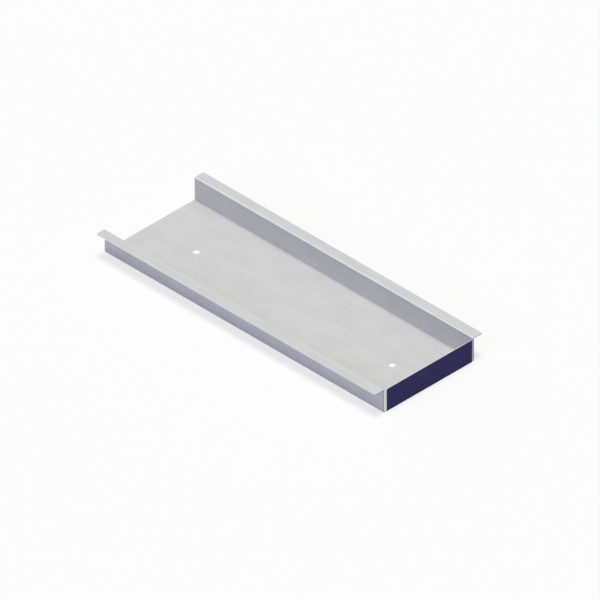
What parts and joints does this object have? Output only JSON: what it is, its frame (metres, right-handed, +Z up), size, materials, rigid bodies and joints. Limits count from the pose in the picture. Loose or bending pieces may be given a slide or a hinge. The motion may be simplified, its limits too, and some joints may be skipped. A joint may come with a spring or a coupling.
{
  "type": "pci slot cover bracket",
  "caption": "Shallow folded sheet steel tray bracket with out-turned top flanges, one closed end, one open end and round fixing holes in its floor.",
  "frame": {"origin": "centre of the bounding box in plan, at the level of the floor's underside", "axes": "+X along the length towards the end wall, +Y across the floor, +Z up from the floor to the flanges"},
  "size_m": [0.371, 0.1424, 0.026],
  "materials": {
    "sheet_steel": "light grey satin zinc-plated steel sheet with a faint rolled grain; the outer face of the end wall is finished dark navy blue"
  },
  "bodies": {
    "root": {"slot_cover_bracket": "sheet_steel"}
  },
  "joints": []
}
